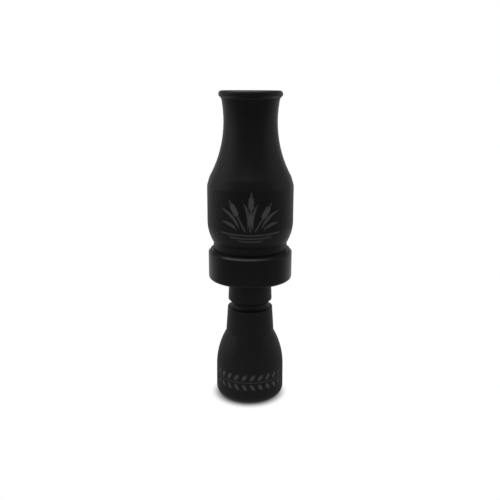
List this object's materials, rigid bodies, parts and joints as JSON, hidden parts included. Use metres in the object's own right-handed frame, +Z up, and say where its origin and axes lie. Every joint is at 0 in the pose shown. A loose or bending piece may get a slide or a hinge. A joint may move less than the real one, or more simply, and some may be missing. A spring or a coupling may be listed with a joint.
{
  "type": "grunt tube call",
  "caption": "Hand-held reed game call: a turned barrel with a rolled lip and a ring band on a pull-out flared insert that holds the tone channel, reed and wedge.",
  "frame": {"origin": "on the call's axis, at the flat resting face on the open end of the insert", "axes": "+Z up along the axis, from the insert's open end to the mouth of the barrel; -Y is the side with the badge, the reed and the wedge; +X to the right of that side"},
  "size_m": [0.033, 0.033, 0.1204],
  "materials": {
    "barrel_acrylic": "satin black, turned and hand polished",
    "band_anodised": "black anodised, satin",
    "insert_acrylic": "satin black, turned",
    "o_ring_rubber": "nitrile, lightly greased",
    "guts_plastic": "moulded black",
    "reed_film": "frosted polyester film",
    "wedge_rubber": "dense rubber"
  },
  "bodies": {
    "insert": {"insert": "insert_acrylic"},
    "o_rings": {"lower_o_ring": "o_ring_rubber", "upper_o_ring": "o_ring_rubber"},
    "barrel": {"barrel": "barrel_acrylic", "band": "band_anodised"},
    "guts": {"tone_channel": "guts_plastic"},
    "wedge": {"wedge": "wedge_rubber"},
    "reed": {"reed": "reed_film"}
  },
  "joints": [
    {"name": "barrel_twist", "type": "hinge", "parent": "insert", "child": "o_rings", "pos_m": [0, 0, 0.0615], "axis": [0, 0, 1], "continuous": true},
    {"name": "barrel_pull", "type": "slide", "parent": "o_rings", "child": "barrel", "axis": [0, 0, 1], "range_m": [0, 0.052]},
    {"name": "guts_pull", "type": "slide", "parent": "insert", "child": "guts", "axis": [0, 0, 1], "range_m": [0, 0.027]},
    {"name": "wedge_slide", "type": "slide", "parent": "guts", "child": "wedge", "axis": [0, 0, 1], "range_m": [0, 0.014]},
    {"name": "reed_flex", "type": "hinge", "parent": "guts", "child": "reed", "pos_m": [0, -0.0018, 0.0735], "axis": [-1, 0, 0], "range_deg": [0, 3], "stiffness_Nm_per_rad": 0.018, "deforming": ["reed"]}
  ]
}
